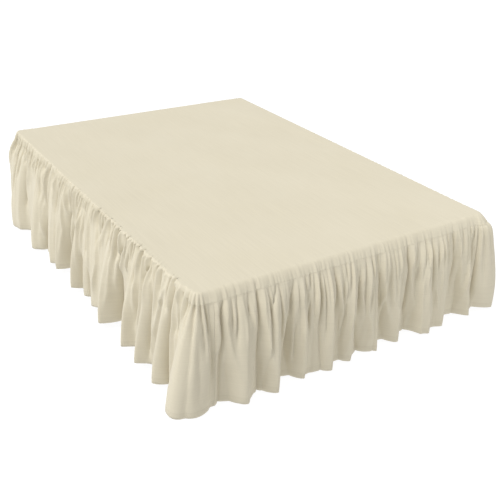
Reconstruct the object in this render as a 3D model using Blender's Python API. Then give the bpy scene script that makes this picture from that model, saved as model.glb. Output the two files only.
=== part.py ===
# A gathered bed skirt on a plain bed base, modelled as a maker sews and fits it.
#
# Metres, +Z up. The origin is on the floor under the middle of the bed, the head end is at +Y
# and the foot at -Y. The skirt is a flat deck cloth that lies over the base and three gathered
# strips sewn to its turned-down edge: left side, foot and right side. The head end is bare.

import bpy
import bmesh
from math import ceil, cos, exp, pi, sin

# Bed and skirt
BED_WIDTH = 1.372
BED_LENGTH = 1.905
DECK_TOP = 0.466
FOOT_CORNER = 0.035         # radius of the skirt's corners in plan
HEAD_CORNER = 0.030
CLOTH = 0.002
SEAM_GAP = 0.0004           # left between pieces that are sewn edge to edge

# Deck cloth
DECK_STATION = 0.16         # spacing of the stations along a straight edge
CORNER_STEPS = 5
ROUND_STEPS = 4
# Where the deck turns down over the edge: each row is a place round the edge, in metres along
# the seam from the middle of the left foot corner, how far in the turn starts, and how far the
# seam hangs below the deck top.
DECK_TURNS = [
    # place, turn, drop
    (-2.00, 0.014, 0.018),
    (-1.60, 0.014, 0.016),
    (-0.30, 0.014, 0.016),
    (0.00, 0.030, 0.038),
    (0.30, 0.030, 0.031),
    (1.15, 0.028, 0.029),
    (1.36, 0.018, 0.030),
    (1.70, 0.014, 0.018),
    (3.40, 0.014, 0.018),
]
HEAD_TURN_DOWN = (0.014, 0.018)     # turn and drop of the hemmed head edge

# Gathered strips
HEAD_WRAP = 0.060           # straight run of each side strip past the head corner
ROW_PLACES = [0.0, 0.045, 0.13, 0.26, 0.43, 0.62, 0.82, 1.0]    # down the drop, 0 seam to 1 hem
GATHER_PITCH = 0.038        # usual spacing of the small gathers along the seam
GATHER_SHIFT = 0.22         # how unevenly they are spaced, as a part of the spacing
GATHER_DEPTH = 0.015
GATHER_DEPTH_SPREAD = 0.35  # how much their depths differ
GATHER_START = 0.03         # part of the drop over which they reach their depth
GATHER_LENGTH = 0.30        # part of the drop that they run down
GATHER_LENGTH_SPREAD = 0.22
GATHER_ROUND = 0.6          # under 1 makes their ridges round and their valleys narrow
GATHER_TURNS = [0.0, 0.27, 0.73]    # columns across one gather: its valley and its two shoulders
BULGE = 0.020               # how far the cloth stands out below the seam
BULGE_HIGH = 0.5            # 1 puts the fullest level half way down the drop, less puts it higher
FOLD_GROWTH = 1.9           # how soon the long folds reach their full depth
FOLD_SWING = 1.3            # how soon they swing over to their places at the hem
PUFF_PLACE = 1.375          # the cloth bunched at the right foot corner stands out at its top
PUFF_WIDTH = 0.050
PUFF_HEIGHT = 0.040
PUFF_START = 0.025          # parts of the drop over which it rises and then fades
PUFF_FADE = 0.30
HEM_LEVEL = 0.010

# The long folds: each row is a line that runs from the seam to the hem, a crest or a valley.
# at_seam and at_hem are places along the seam from the middle of the left foot corner, reach
# is how far the hem stands out of the bed's side there, and rise lifts the hem off its level.
FOLD_COLUMNS = ("kind", "at_seam", "at_hem", "reach", "rise")
LEFT_FOLDS = [
    ("valley", -2.040, -2.040, 0.020, 0.004),
    ("crest", -1.960, -1.965, 0.060, 0.000),
    ("valley", -1.890, -1.890, 0.050, 0.002),
    ("crest", -1.765, -1.750, 0.096, 0.000),
    ("crest", -1.705, -1.688, 0.088, 0.002),
    ("valley", -1.650, -1.642, 0.022, 0.003),
    ("valley", -1.590, -1.590, 0.024, 0.003),
    ("crest", -1.450, -1.458, 0.100, 0.000),
    ("valley", -1.355, -1.366, 0.038, 0.006),
    ("crest", -1.250, -1.256, 0.078, 0.008),
    ("valley", -1.205, -1.207, 0.050, 0.012),
    ("crest", -1.155, -1.170, 0.084, 0.018),
    ("valley", -1.095, -1.112, 0.016, 0.020),
    ("valley", -1.020, -1.046, 0.010, 0.022),
    ("crest", -0.960, -0.966, 0.088, 0.022),
    ("valley", -0.915, -0.930, 0.040, 0.022),
    ("crest", -0.880, -0.890, 0.056, 0.020),
    ("valley", -0.840, -0.842, 0.040, 0.020),
    ("crest", -0.780, -0.798, 0.060, 0.018),
    ("valley", -0.725, -0.730, 0.042, 0.020),
    ("crest", -0.620, -0.638, 0.096, 0.022),
    ("valley", -0.545, -0.578, 0.006, 0.026),
    ("valley", -0.505, -0.512, 0.002, 0.026),
    ("crest", -0.420, -0.438, 0.084, 0.022),
    ("valley", -0.365, -0.396, 0.030, 0.023),
    ("valley", -0.335, -0.360, 0.026, 0.023),
    ("crest", -0.280, -0.317, 0.084, 0.020),
    ("valley", -0.225, -0.262, 0.026, 0.020),
    ("valley", -0.200, -0.228, 0.022, 0.018),
    ("crest", -0.145, -0.176, 0.078, 0.014),
    ("valley", -0.085, -0.112, 0.022, 0.010),
    ("valley", -0.060, -0.092, 0.024, 0.008),
    ("crest", -0.010, -0.025, 0.100, -0.003),
]
FOOT_FOLDS = [
    ("valley", 0.060, 0.050, 0.020, 0.003),
    ("valley", 0.092, 0.084, 0.020, 0.003),
    ("crest", 0.150, 0.168, 0.080, -0.001),
    ("valley", 0.235, 0.222, 0.032, 0.003),
    ("crest", 0.290, 0.300, 0.081, -0.001),
    ("valley", 0.372, 0.345, 0.006, 0.004),
    ("crest", 0.425, 0.432, 0.058, -0.001),
    ("valley", 0.480, 0.456, 0.032, 0.001),
    ("crest", 0.535, 0.555, 0.070, -0.001),
    ("valley", 0.580, 0.590, 0.032, 0.001),
    ("crest", 0.640, 0.653, 0.059, -0.001),
    ("valley", 0.690, 0.700, 0.018, 0.002),
    ("crest", 0.745, 0.790, 0.057, -0.001),
    ("valley", 0.788, 0.826, 0.005, 0.004),
    ("crest", 0.870, 0.908, 0.051, 0.000),
    ("valley", 0.938, 0.955, 0.004, 0.007),
    ("valley", 0.960, 1.002, 0.006, 0.008),
    ("crest", 0.992, 1.030, 0.060, 0.003),
    ("crest", 1.015, 1.062, 0.070, 0.002),
    ("valley", 1.075, 1.102, 0.042, 0.003),
    ("crest", 1.120, 1.150, 0.057, 0.002),
    ("valley", 1.182, 1.210, 0.004, 0.008),
    ("valley", 1.205, 1.258, 0.006, 0.008),
    ("crest", 1.240, 1.316, 0.052, 0.004),
]
RIGHT_FOLDS = [
    ("valley", 1.300, 1.348, 0.018, 0.012),
    ("crest", 1.368, 1.370, 0.122, 0.002),
    ("crest", 1.410, 1.408, 0.092, 0.004),
    ("valley", 1.510, 1.495, 0.024, 0.006),
    ("crest", 1.590, 1.600, 0.068, 0.000),
    ("valley", 1.680, 1.670, 0.022, 0.003),
    ("crest", 1.745, 1.740, 0.054, 0.000),
    ("valley", 1.830, 1.845, 0.010, 0.004),
    ("crest", 1.940, 1.930, 0.084, 0.000),
    ("valley", 2.020, 2.030, 0.026, 0.002),
    ("crest", 2.090, 2.085, 0.056, 0.000),
    ("valley", 2.150, 2.160, 0.030, 0.002),
    ("crest", 2.260, 2.250, 0.078, 0.000),
    ("valley", 2.340, 2.350, 0.008, 0.006),
    ("valley", 2.375, 2.390, 0.006, 0.006),
    ("crest", 2.450, 2.470, 0.068, 0.000),
    ("valley", 2.540, 2.535, 0.026, 0.002),
    ("crest", 2.625, 2.610, 0.082, 0.000),
    ("valley", 2.700, 2.715, 0.014, 0.004),
    ("crest", 2.830, 2.820, 0.062, 0.000),
    ("valley", 2.940, 2.930, 0.030, 0.002),
    ("crest", 3.030, 3.045, 0.076, 0.000),
    ("valley", 3.140, 3.130, 0.018, 0.004),
    ("crest", 3.240, 3.240, 0.080, 0.000),
    ("valley", 3.320, 3.320, 0.046, 0.003),
    ("crest", 3.375, 3.375, 0.058, 0.000),
    ("valley", 3.450, 3.450, 0.020, 0.004),
]

# Bed base
BASE_MARGIN = 0.005         # from the skirt's outer face to the base's side
BASE_TOP_GAP = 0.0003
BASE_HEIGHT = 0.230
BASE_CORNER = 0.045         # radius of its upright edges
BASE_TOP_ROUND = 0.030
BASE_FOOT_ROUND = 0.008
BASE_CORNER_STEPS = 5
LEG_TOP_RADIUS = 0.034
LEG_FOOT_RADIUS = 0.024
LEG_INSET = 0.120           # from the base's sides to a leg's middle
LEG_GAP = 0.0003
LEG_SIDES = 20
LEG_ROWS = [("foot", -1), ("middle", 0), ("head", 1)]
LEG_SIDES_OF_BED = [("left", -1), ("right", 1)]

HALF_WIDTH = BED_WIDTH / 2
HALF_LENGTH = BED_LENGTH / 2


def clear_scene():
    for thing in list(bpy.data.objects):
        bpy.data.objects.remove(thing, do_unlink=True)


def make_material(name, colour, roughness, metallic=0.0):
    material = bpy.data.materials.new(name)
    material.use_nodes = True
    shader = material.node_tree.nodes["Principled BSDF"]
    shader.inputs["Base Color"].default_value = (*colour, 1.0)
    shader.inputs["Roughness"].default_value = roughness
    shader.inputs["Metallic"].default_value = metallic
    material.diffuse_color = (*colour, 1.0)
    return material


def add_object(name, mesh, material):
    thing = bpy.data.objects.new(name, mesh)
    bpy.context.scene.collection.objects.link(thing)
    mesh.materials.append(material)
    return thing


# ---- The seam, seen from above -------------------------------------------------------------

def seam_pieces():
    """Straight runs and corner arcs from the left head corner round the foot to the right one.

    Each is (start place, length, start x, start y, heading, corner radius); place 0 is the
    middle of the left foot corner and a radius of 0 is a straight run.
    """
    side = BED_LENGTH - HEAD_CORNER - FOOT_CORNER
    foot = BED_WIDTH - 2 * FOOT_CORNER
    head_arc = HEAD_CORNER * pi / 2
    foot_arc = FOOT_CORNER * pi / 2
    lengths = [HEAD_WRAP, head_arc, side, foot_arc, foot, foot_arc, side, head_arc, HEAD_WRAP]
    radii = [0, HEAD_CORNER, 0, FOOT_CORNER, 0, FOOT_CORNER, 0, HEAD_CORNER, 0]
    place = -(foot_arc / 2 + side + head_arc + HEAD_WRAP)
    x = -HALF_WIDTH + HEAD_CORNER + HEAD_WRAP
    y = HALF_LENGTH
    heading = pi
    pieces = []
    for length, radius in zip(lengths, radii):
        pieces.append((place, length, x, y, heading, radius))
        if radius:
            turned = heading + length / radius
            x += radius * (sin(turned) - sin(heading))
            y -= radius * (cos(turned) - cos(heading))
            heading = turned
        else:
            x += length * cos(heading)
            y += length * sin(heading)
        place += length
    return pieces


SEAM = seam_pieces()
SEAM_START = SEAM[0][0]
SEAM_END = SEAM[-1][0] + SEAM[-1][1]


def seam_at(place):
    """Point on the seam and the direction out of the bed there, all in plan."""
    for start, length, x, y, heading, radius in SEAM:
        if place <= start + length or start == SEAM[-1][0]:
            break
    run = place - start
    if radius:
        turned = heading + run / radius
        x += radius * (sin(turned) - sin(heading))
        y -= radius * (cos(turned) - cos(heading))
        heading = turned
    else:
        x += run * cos(heading)
        y += run * sin(heading)
    return x, y, sin(heading), -cos(heading)


def ease(t):
    """From 0 to 1 with level ends."""
    t = min(max(t, 0.0), 1.0)
    return (1 - cos(pi * t)) / 2


def between(rows, key, place, value):
    """Eases one column of a table from row to row along another."""
    if place <= rows[0][key]:
        return rows[0][value]
    for before, after in zip(rows, rows[1:]):
        if place <= after[key]:
            t = (place - before[key]) / (after[key] - before[key])
            return before[value] + (after[value] - before[value]) * ease(t)
    return rows[-1][value]


def deck_places():
    """Places of the deck's stations along the seam, closer together round the corners."""
    places = []
    for start, length, _, _, _, radius in SEAM:
        steps = CORNER_STEPS if radius else ceil(length / DECK_STATION)
        places += [start + length * step / steps for step in range(steps)]
    return places + [SEAM_END]


DECK_PLACES = deck_places()
DECK_EDGES = [(between(DECK_TURNS, 0, place, 1), between(DECK_TURNS, 0, place, 2))
              for place in DECK_PLACES]


def seam_level(place):
    """Height of the seam, straight from one station of the deck to the next."""
    stations = [(station, drop) for station, (_, drop) in zip(DECK_PLACES, DECK_EDGES)]
    for (start, drop), (end, next_drop) in zip(stations, stations[1:]):
        if place <= end:
            break
    return DECK_TOP - drop - (next_drop - drop) * (place - start) / (end - start)


# ---- The gathered cloth --------------------------------------------------------------------

KIND, AT_SEAM, AT_HEM, REACH, RISE = range(len(FOLD_COLUMNS))
FOLDS = LEFT_FOLDS + FOOT_FOLDS + RIGHT_FOLDS


def wander(number, turn):
    """A repeatable uneven value from -1 to 1 for each whole number."""
    return sin(number * 12.9898 + turn * 4.1414) * cos(number * 78.233 + turn)


def gather_valleys():
    """Places of the small gathers' valleys along the seam: each long fold's valley has one."""
    valleys = [row[AT_SEAM] for row in FOLDS if row[KIND] == "valley"]
    ends = [SEAM_START] + [place for place in valleys if SEAM_START < place < SEAM_END] + [SEAM_END]
    places = []
    for start, end in zip(ends, ends[1:]):
        count = max(1, round((end - start) / GATHER_PITCH))
        pitch = (end - start) / count
        for step in range(count):
            shift = GATHER_SHIFT * wander(len(places), 0.3) if step else 0.0
            places.append(start + (step + shift) * pitch)
    return places + [SEAM_END]


GATHERS = gather_valleys()


def gather_at(place):
    """Height of the small gathers, from 0 in a valley to 1 on a ridge, and how long each runs."""
    for number, (start, end) in enumerate(zip(GATHERS, GATHERS[1:])):
        if place <= end:
            break
    across = min(max((place - start) / (end - start), 0.0), 1.0)
    ridge = sin(pi * across) ** GATHER_ROUND
    length = GATHER_LENGTH + GATHER_LENGTH_SPREAD * wander(number, 1.7)
    return ridge, length, 1 + GATHER_DEPTH_SPREAD * wander(number, 2.9)


def hem_place(place):
    """Where the thread that leaves the seam at this place meets the hem."""
    for before, after in zip(FOLDS, FOLDS[1:]):
        if place <= after[AT_SEAM]:
            break
    t = (place - before[AT_SEAM]) / (after[AT_SEAM] - before[AT_SEAM])
    return before[AT_HEM] + (after[AT_HEM] - before[AT_HEM]) * t


def cloth_point(place, down):
    """A point of the gathered cloth's outer face: place along the seam, down from 0 to 1."""
    reach = between(FOLDS, AT_SEAM, place, REACH)
    hem = HEM_LEVEL + between(FOLDS, AT_SEAM, place, RISE)
    ridge, length, size = gather_at(place)
    fold = reach * (1 - (1 - down) ** FOLD_GROWTH)
    bulge = BULGE * sin(pi * down ** BULGE_HIGH)
    beside = (place - PUFF_PLACE) / PUFF_WIDTH
    puff = PUFF_HEIGHT * exp(-beside ** 2) * (1 - exp(-down / PUFF_START)) * exp(-down / PUFF_FADE)
    swell = (1 - exp(-down / GATHER_START)) * exp(-(down / length) ** 1.5)
    gather = GATHER_DEPTH * size * swell * (ridge - 0.5)
    out = fold + bulge + puff + gather
    along = place + (hem_place(place) - place) * down ** FOLD_SWING
    x, y, out_x, out_y = seam_at(min(max(along, SEAM_START), SEAM_END))
    top = seam_level(place) - SEAM_GAP / 2
    z = top + (hem - top) * down
    return x + out * out_x, y + out * out_y, z


def strip_columns(start, end):
    """Column places from start to end: each gather's valley and shoulders, and each fold line."""
    places = [left + (right - left) * turn for left, right in zip(GATHERS, GATHERS[1:])
              for turn in GATHER_TURNS]
    for row in FOLDS:
        nearest = min(places, key=lambda place: abs(place - row[AT_SEAM]))
        places[places.index(nearest)] = row[AT_SEAM]
    return [start] + [place for place in sorted(places) if start < place < end] + [end]


def gathered_strip(name, start, end, material):
    columns = strip_columns(start, end)
    sheet = bmesh.new()
    rows = [[sheet.verts.new(cloth_point(place, down)) for place in columns] for down in ROW_PLACES]
    for upper, lower in zip(rows, rows[1:]):
        for k in range(len(columns) - 1):
            sheet.faces.new((upper[k], lower[k], lower[k + 1], upper[k + 1]))
    mesh = bpy.data.meshes.new(name)
    sheet.to_mesh(mesh)
    sheet.free()
    mesh.shade_smooth()
    strip = add_object(name, mesh, material)
    thick = strip.modifiers.new("Cloth", "SOLIDIFY")
    thick.thickness = CLOTH
    thick.offset = -1.0
    return strip


# ---- The deck cloth ------------------------------------------------------------------------

def deck_stations():
    """Stations round the whole edge: x, y, the way out, and the turn and drop of the edge."""
    stations = [(*seam_at(place), *edge) for place, edge in zip(DECK_PLACES, DECK_EDGES)]
    gap = stations[-1][0] - stations[0][0]
    steps = ceil(gap / DECK_STATION)
    for step in range(1, steps):
        x = stations[len(DECK_PLACES) - 1][0] - gap * step / steps
        stations.append((x, HALF_LENGTH, 0.0, 1.0, *HEAD_TURN_DOWN))
    return stations


def deck_skin(sheet, stations, skin):
    """Rings of one face of the deck, a depth inside the outer face, from the flat to the edge."""
    rings = []
    for step in range(ROUND_STEPS + 1):
        angle = pi / 2 * step / ROUND_STEPS
        ring = []
        for x, y, out_x, out_y, turn, drop in stations:
            inset = turn - (turn - skin) * sin(angle)
            z = DECK_TOP - drop + (drop - skin) * cos(angle) + SEAM_GAP / 2
            ring.append(sheet.verts.new((x - inset * out_x, y - inset * out_y, z)))
        rings.append(ring)
    return rings


def deck_cloth(name, material):
    stations = deck_stations()
    sheet = bmesh.new()
    outer = deck_skin(sheet, stations, 0.0)
    inner = deck_skin(sheet, stations, CLOTH)
    count = len(stations)
    sheet.faces.new(outer[0])
    sheet.faces.new(inner[0][::-1])
    for k in range(count):
        n = (k + 1) % count
        for upper, lower in zip(outer, outer[1:]):
            sheet.faces.new((upper[k], lower[k], lower[n], upper[n]))
        for upper, lower in zip(inner, inner[1:]):
            sheet.faces.new((upper[n], lower[n], lower[k], upper[k]))
        sheet.faces.new((outer[-1][k], inner[-1][k], inner[-1][n], outer[-1][n]))
    mesh = bpy.data.meshes.new(name)
    sheet.to_mesh(mesh)
    sheet.free()
    mesh.shade_smooth()
    return add_object(name, mesh, material)


# ---- The bed base --------------------------------------------------------------------------

def base_ring(box, inset, level):
    """A ring of the base, with rounded corners, inset from its side."""
    radius = BASE_CORNER - inset
    centre_x = HALF_WIDTH - BASE_MARGIN - BASE_CORNER
    centre_y = HALF_LENGTH - BASE_MARGIN - BASE_CORNER
    ring = []
    for quarter, (side_x, side_y) in enumerate([(1, 1), (-1, 1), (-1, -1), (1, -1)]):
        for step in range(BASE_CORNER_STEPS + 1):
            angle = pi / 2 * (quarter + step / BASE_CORNER_STEPS)
            x = side_x * centre_x + radius * cos(angle)
            y = side_y * centre_y + radius * sin(angle)
            ring.append(box.verts.new((x, y, level)))
    return ring


def box_base(name, top, material):
    bottom = top - BASE_HEIGHT
    box = bmesh.new()
    rings = [base_ring(box, BASE_FOOT_ROUND, bottom), base_ring(box, 0.0, bottom + BASE_FOOT_ROUND)]
    for step in range(ROUND_STEPS + 1):
        angle = pi / 2 * step / ROUND_STEPS
        inset = BASE_TOP_ROUND * (1 - cos(angle))
        rings.append(base_ring(box, inset, top - BASE_TOP_ROUND * (1 - sin(angle))))
    box.faces.new(rings[0][::-1])
    box.faces.new(rings[-1])
    for lower, upper in zip(rings, rings[1:]):
        for k in range(len(lower)):
            n = (k + 1) % len(lower)
            box.faces.new((lower[k], lower[n], upper[n], upper[k]))
    mesh = bpy.data.meshes.new(name)
    box.to_mesh(mesh)
    box.free()
    mesh.shade_smooth()
    mesh.set_sharp_from_angle(angle=pi / 5)
    return add_object(name, mesh, material)


def bed_leg(name, x, y, top, material):
    leg = bmesh.new()
    height = top - LEG_GAP
    bmesh.ops.create_cone(leg, cap_ends=True, segments=LEG_SIDES, radius1=LEG_FOOT_RADIUS,
                          radius2=LEG_TOP_RADIUS, depth=height)
    mesh = bpy.data.meshes.new(name)
    leg.to_mesh(mesh)
    leg.free()
    thing = add_object(name, mesh, material)
    thing.location = (x, y, height / 2)
    return thing


def main():
    clear_scene()
    cloth = make_material("Ivory cotton", (0.78, 0.72, 0.58), 0.85)
    cover = make_material("Base cover", (0.62, 0.60, 0.56), 0.9)
    wood = make_material("Leg wood", (0.30, 0.19, 0.11), 0.5)
    left_join = FOOT_FOLDS[0][AT_SEAM]
    right_join = RIGHT_FOLDS[0][AT_SEAM]
    deck_cloth("deck_cloth", cloth)
    gathered_strip("ruffle_left", SEAM_START, left_join - SEAM_GAP / 2, cloth)
    gathered_strip("ruffle_foot", left_join + SEAM_GAP / 2, right_join - SEAM_GAP / 2, cloth)
    gathered_strip("ruffle_right", right_join + SEAM_GAP / 2, SEAM_END, cloth)
    base_top = DECK_TOP - CLOTH - BASE_TOP_GAP
    box_base("bed_base", base_top, cover)
    for row, along in LEG_ROWS:
        for side, across in LEG_SIDES_OF_BED:
            x = across * (HALF_WIDTH - BASE_MARGIN - LEG_INSET)
            y = along * (HALF_LENGTH - BASE_MARGIN - LEG_INSET)
            bed_leg(f"leg_{row}_{side}", x, y, base_top - BASE_HEIGHT, wood)


main()
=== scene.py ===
# A gathered bed skirt, laid over a plain box base on six legs, in soft studio light.
# Metres, +Z up: the head end is at +Y, the foot at -Y and the long sides at -X and +X.
from math import ceil, cos, pi, radians, sin, sqrt

import bmesh
import bpy
import numpy as np
from mathutils import Matrix, Vector


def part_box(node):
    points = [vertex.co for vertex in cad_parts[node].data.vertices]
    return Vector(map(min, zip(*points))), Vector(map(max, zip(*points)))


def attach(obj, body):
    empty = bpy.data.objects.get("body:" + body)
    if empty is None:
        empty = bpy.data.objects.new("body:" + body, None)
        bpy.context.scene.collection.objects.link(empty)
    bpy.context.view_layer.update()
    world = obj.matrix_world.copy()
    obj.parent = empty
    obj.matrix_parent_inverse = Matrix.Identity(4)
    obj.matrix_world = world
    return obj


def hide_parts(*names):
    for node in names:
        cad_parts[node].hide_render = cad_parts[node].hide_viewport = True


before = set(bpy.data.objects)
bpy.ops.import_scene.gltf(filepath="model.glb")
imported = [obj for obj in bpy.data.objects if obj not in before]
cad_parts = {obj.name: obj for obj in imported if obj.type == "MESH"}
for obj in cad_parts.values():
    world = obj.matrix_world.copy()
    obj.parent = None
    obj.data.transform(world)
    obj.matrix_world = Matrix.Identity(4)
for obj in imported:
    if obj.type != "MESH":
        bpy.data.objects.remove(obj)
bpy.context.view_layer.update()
print("frame loaded:", len(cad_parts), "nodes")

bed = {
    "width": 1.372, "length": 1.905, "top": 0.466,
    "footCorner": 0.035, "headCorner": 0.030,  # radii in plan
    "headWrap": 0.060,  # each side strip runs on past the head corner
}

# Camera

view = {
    "place": (-1.72911, -2.84281, 1.75657),
    "ahead": (0.48271, 0.74658, -0.45782), "right": (0.84714, -0.53063, 0.02788),
    "lens": 55.08, "film": 36, "shiftX": 0.0161, "shiftY": -0.0022,
}


def addObject(name, data):
    made = bpy.data.objects.new(name, data)
    bpy.context.scene.collection.objects.link(made)
    return made


def makeCamera():
    ahead = Vector(view["ahead"]).normalized()
    up = Vector(view["right"]).cross(ahead).normalized()
    right = ahead.cross(up)
    data = bpy.data.cameras.new("studioCamera")
    data.sensor_width = view["film"]
    data.lens = view["lens"]
    data.shift_x, data.shift_y = view["shiftX"], view["shiftY"]
    camera = addObject("studioCamera", data)
    turn = Matrix((right, up, -ahead)).transposed().to_4x4()
    camera.matrix_world = Matrix.Translation(view["place"]) @ turn
    bpy.context.scene.camera = camera


makeCamera()
print("camera set")


# Materials

def bothWays(operation):
    # an operator and its reflected form
    return (lambda self, other: self.maths(operation, self, other),
            lambda self, other: self.maths(operation, other, self))


class Wire:
    # one output of a node, so that shader maths reads as plain expressions
    def __init__(self, finish, socket):
        self.finish, self.socket = finish, socket

    def maths(self, operation, *values):
        return self.finish.node("ShaderNodeMath", {"operation": operation}, dict(enumerate(values)))

    __add__, __radd__ = bothWays("ADD")
    __sub__, __rsub__ = bothWays("SUBTRACT")
    __mul__, __rmul__ = bothWays("MULTIPLY")

    def sine(self):
        return self.maths("SINE", self)

    def size(self):
        return self.maths("ABSOLUTE", self)

    def clamp(self):
        return self.finish.node("ShaderNodeClamp", {}, {0: self})

    def spread(self, gain, cut):
        # a narrow range of values, stretched to fill 0 to 1
        return (self * gain - cut).clamp()

    def near(self, place, reach):
        # 1 at a place and 0 from reach away on either side
        return (1 - (self - place).size() * (1 / reach)).clamp()


class Finish:
    # a material under construction
    def __init__(self, name, roughness, **constants):
        self.material = bpy.data.materials.new(name)
        self.material.use_nodes = True
        self.tree = self.material.node_tree
        self.shader = self.tree.nodes["Principled BSDF"]
        self.shader.inputs["Roughness"].default_value = roughness
        for socket, value in constants.items():
            self.shader.inputs[socket.replace("_", " ")].default_value = value

    def node(self, kind, settings=None, sockets=None, out=0):
        made = self.tree.nodes.new(kind)
        for key, value in (settings or {}).items():
            setattr(made, key, value)
        for key, value in (sockets or {}).items():
            if isinstance(value, Wire):
                self.tree.links.new(value.socket, made.inputs[key])
            else:
                made.inputs[key].default_value = value
        return Wire(self, made.outputs[out])

    def attribute(self, name):
        return self.node("ShaderNodeAttribute", {"attribute_name": name}, out="Vector")

    def objectPlace(self):
        return self.node("ShaderNodeTexCoord", out="Object")

    def parts(self, vector):
        split = self.node("ShaderNodeSeparateXYZ", {}, {0: vector})
        return [Wire(self, output) for output in split.socket.node.outputs]

    def stretch(self, vector, scale):
        return self.node("ShaderNodeVectorMath", {"operation": "MULTIPLY"}, {0: vector, 1: scale})

    def noise(self, vector, scale, detail=2.0, roughness=0.5):
        return self.node("ShaderNodeTexNoise", {}, {
            "Vector": self.stretch(vector, scale), "Scale": 1.0, "Detail": detail,
            "Roughness": roughness})

    def mix(self, factor, first, second):
        # socket 0 is the factor, 6 and 7 are the two colours
        return self.node("ShaderNodeMix", {"data_type": "RGBA"}, {0: factor, 6: first, 7: second},
                         out=2)

    def feed(self, socket, wire):
        self.tree.links.new(wire.socket, self.shader.inputs[socket])

    def bump(self, height, distance, strength):
        normal = self.node("ShaderNodeBump", {}, {
            "Height": height, "Distance": distance, "Strength": strength})
        self.feed("Normal", normal)


def srgb(red, green, blue):
    def linear(value):
        value /= 255
        return value / 12.92 if value <= 0.04045 else ((value + 0.055) / 1.055) ** 2.4
    return (linear(red), linear(green), linear(blue), 1.0)


cotton = {
    "colour": srgb(210, 202, 180), "slub": srgb(195, 187, 165), "pale": srgb(214, 207, 188),
    "roughness": 0.92, "threads": 1500.0,  # threads a metre
    # each unevenness: its scale across and down the cloth, its spread and how much it tints
    "slubScale": (5.0, 170.0, 1.0), "slubSpread": (2.2, 0.75), "slubTint": 0.45,
    "paleScale": (3.0, 3.0, 1.0), "paleSpread": (2, 0.6), "paleTint": 0.35,
    "warpScale": (260.0, 7.0, 1.0),
    # the stitched hem: its depth, a stitch, half the row's width, how sharply the cloth doubles
    "hem": 0.028, "stitch": 0.0032, "rowReach": 0.0011, "doubling": 900,
    "stitchSpread": (4, -2.5), "rowTint": 0.75, "doubledTint": 0.25,
    # heights in the relief
    "weaveHeight": 0.10, "slubHeight": 0.60, "warpHeight": 0.35,
    "stitchHeight": 1.4, "rowDent": 1.6, "doubledHeight": 0.8,
    "relief": 0.0006, "reliefShare": 0.55,
}


def cottonCloth(name):
    # plain ivory cotton: an even weave, faint slubs along the weft and a stitched hem
    finish = Finish(name, cotton["roughness"], Specular_IOR_Level=0.25, Sheen_Weight=0.12,
                    Sheen_Roughness=0.6)
    thread = finish.attribute("thread")  # across and down the cloth, in metres
    edge = finish.attribute("edge")  # distance from the hem, and along it
    across, down, _ = finish.parts(thread)
    fromHem, alongHem, _ = finish.parts(edge)
    slub = finish.noise(thread, cotton["slubScale"], 3.0, 0.6)
    warpSlub = finish.noise(thread, cotton["warpScale"])
    pale = finish.noise(thread, cotton["paleScale"])
    tone = finish.mix(slub.spread(*cotton["slubSpread"]) * cotton["slubTint"],
                      cotton["colour"], cotton["slub"])
    tone = finish.mix(pale.spread(*cotton["paleSpread"]) * cotton["paleTint"], tone, cotton["pale"])
    row = fromHem.near(cotton["hem"], cotton["rowReach"])
    stitches = row * (alongHem * (2 * pi / cotton["stitch"])).sine().spread(*cotton["stitchSpread"])
    doubled = ((cotton["hem"] - fromHem) * cotton["doubling"]).clamp()  # below the stitches
    hemTint = (row * cotton["rowTint"] + doubled * cotton["doubledTint"]).clamp()
    finish.feed("Base Color", finish.mix(hemTint, tone, cotton["slub"]))
    warp, weft = ((way * (pi * cotton["threads"])).sine() for way in (across, down))
    cloth = (warp * weft * cotton["weaveHeight"] + slub * cotton["slubHeight"]
             + warpSlub * cotton["warpHeight"])
    hem = stitches * cotton["stitchHeight"] - row * cotton["rowDent"]
    height = cloth + hem + doubled * cotton["doubledHeight"]
    finish.bump(height, cotton["relief"], cotton["reliefShare"])
    return finish.material


coverFinish = {
    "colour": srgb(214, 210, 202), "shade": srgb(198, 193, 184), "roughness": 0.9,
    "twill": 0.0026, "twillHeight": 0.5, "mottle": (30.0, 30.0, 30.0), "mottleSpread": (1.4, 0.3),
    "relief": 0.0005,
}


def baseCover():
    # the base's woven cover: a close twill with a little mottle
    finish = Finish("baseCover", coverFinish["roughness"], Specular_IOR_Level=0.25)
    thread = finish.attribute("thread")
    across, down, _ = finish.parts(thread)
    twill = ((across + down) * (2 * pi / coverFinish["twill"])).sine()
    mottle = finish.noise(thread, coverFinish["mottle"], 4.0, 0.6)
    shade = mottle.spread(*coverFinish["mottleSpread"])
    finish.feed("Base Color", finish.mix(shade, coverFinish["colour"], coverFinish["shade"]))
    finish.bump(twill * coverFinish["twillHeight"] + mottle, coverFinish["relief"], 0.5)
    return finish.material


dustFinish = {
    "dark": srgb(52, 51, 50), "light": srgb(84, 82, 80), "roughness": 0.95,
    "fibre": (90.0, 90.0, 90.0), "relief": 0.0006,
}


def dustCloth():
    # the thin felted cloth that closes the underside
    finish = Finish("dustCloth", dustFinish["roughness"])
    fibre = finish.noise(finish.objectPlace(), dustFinish["fibre"], 6.0, 0.7)
    finish.feed("Base Color", finish.mix(fibre, dustFinish["dark"], dustFinish["light"]))
    finish.bump(fibre, dustFinish["relief"], 0.6)
    return finish.material


legWood = {
    "light": srgb(126, 88, 56), "dark": srgb(84, 54, 32), "roughness": 0.42,
    "drift": (12.0, 12.0, 2.0), "driftShare": 0.5,
    "ringStretch": (1.0, 1.0, 0.08), "rings": 34.0, "ringWander": 6.0, "ringShare": 0.7,
    "pores": (900.0, 900.0, 30.0), "poreSpread": (3, 1.6), "poreTint": 0.4, "grainCut": 0.1,
    "smoothest": 0.36, "roughGrain": 0.12, "relief": 0.0002,
}


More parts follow.
